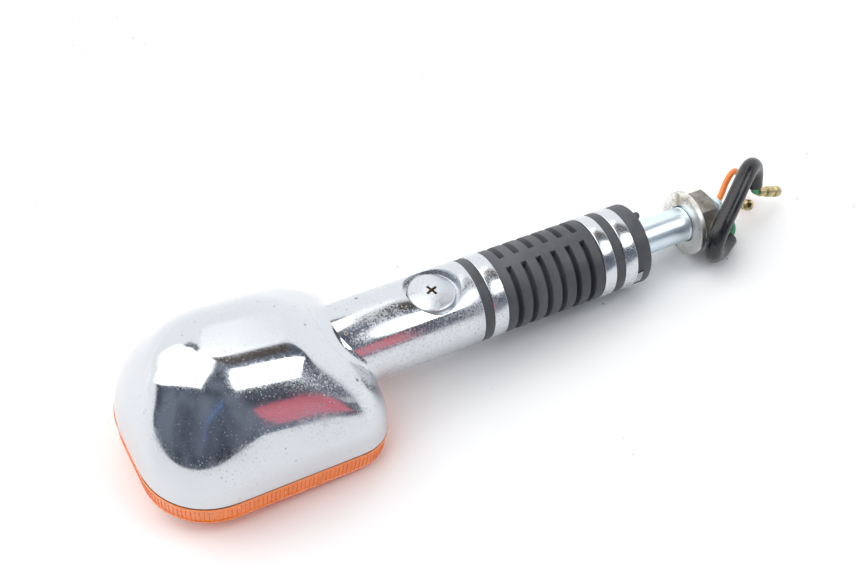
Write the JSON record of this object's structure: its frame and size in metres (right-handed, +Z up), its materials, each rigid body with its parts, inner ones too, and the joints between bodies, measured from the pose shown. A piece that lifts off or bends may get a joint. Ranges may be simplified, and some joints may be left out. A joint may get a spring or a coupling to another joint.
{
  "type": "motorcycle turn signal indicator",
  "caption": "Chrome rounded-square turn signal with amber lens, rubber-damped stem, hollow threaded mounting rod with nut and washer, and loose wires.",
  "frame": {"origin": "on the stem axis, in the plane where the rubber end ring seats against the vehicle's bracket", "axes": "+X inboard along the mounting rod, +Z up with the lens facing down, so the lamp is on the -X side"},
  "size_m": [0.2444, 0.0628, 0.0487],
  "materials": {
    "chrome": "hazy, lightly pitted",
    "lens": "amber, fluted",
    "rubber": "matt",
    "steel": "plated",
    "reflector": "bright",
    "phenolic": "matt",
    "brass": "dull",
    "bulb_glass": "clear",
    "filament": "matt",
    "zinc": "zinc plated, dull",
    "orange_wire": "soft",
    "green_wire": "soft",
    "wire_sleeve": "soft"
  },
  "bodies": {
    "mount_side": {"mounting_rod": "zinc", "rod_insert": "zinc", "end_ring": "rubber", "chrome_band_3": "chrome", "rubber_ring_2": "rubber", "chrome_band_2": "chrome", "rod_live_lead": "orange_wire", "rod_earth_lead": "green_wire", "orange_wire": "orange_wire", "green_root": "green_wire", "wire_sleeve": "wire_sleeve", "green_tail": "green_wire", "bullet_green": "brass", "bullet_orange": "brass"},
    "damper": {"flex_sleeve": "rubber"},
    "lamp": {"housing": "chrome", "lens": "lens", "lens_gasket": "rubber", "lens_screws": "steel", "reflector": "reflector", "bulb_socket": "steel", "socket_grommet": "rubber", "contact_spring": "steel", "stem_insert": "zinc", "retaining_screw": "chrome", "rubber_ring_1": "rubber", "chrome_band_1": "chrome", "lamp_live_lead": "orange_wire", "lamp_earth_lead": "green_wire"},
    "bulb": {"bulb_base": "brass", "bulb_glass": "bulb_glass", "bulb_filament": "filament"},
    "contact": {"contact_plunger": "phenolic"},
    "washer": {"washer": "zinc"},
    "nut": {"nut": "zinc"}
  },
  "joints": [
    {"name": "flex_up_down", "type": "hinge", "parent": "mount_side", "child": "damper", "pos_m": [-0.0367, 0, 0], "axis": [0, 1, 0], "range_deg": [-8, 8], "stiffness_Nm_per_rad": 25, "deforming": ["flex_sleeve"]},
    {"name": "flex_fore_aft", "type": "hinge", "parent": "damper", "child": "lamp", "pos_m": [-0.0367, 0, 0], "axis": [0, 0, 1], "range_deg": [-8, 8], "stiffness_Nm_per_rad": 25, "deforming": ["flex_sleeve"]},
    {"name": "bulb_push", "type": "slide", "parent": "lamp", "child": "bulb", "axis": [1, 0, 0], "range_m": [0, 0.002], "stiffness_N_per_m": 4000, "springref_m": -0.002},
    {"name": "contact_travel", "type": "slide", "parent": "lamp", "child": "contact", "axis": [1, 0, 0], "range_m": [0, 0.002], "deforming": ["contact_spring"]},
    {"name": "nut_spin", "type": "hinge", "parent": "washer", "child": "nut", "pos_m": [0, 0, 0], "axis": [1, 0, 0], "range_deg": [-5184, 0]},
    {"name": "washer_travel", "type": "slide", "parent": "mount_side", "child": "washer", "axis": [1, 0, 0], "range_m": [-0.01801, 0]}
  ],
  "couplings": [
    {"joint": "contact_travel", "follows": "bulb_push", "ratio": 1},
    {"joint": "washer_travel", "follows": "nut_spin", "m_per_rad": 0.00019894}
  ]
}
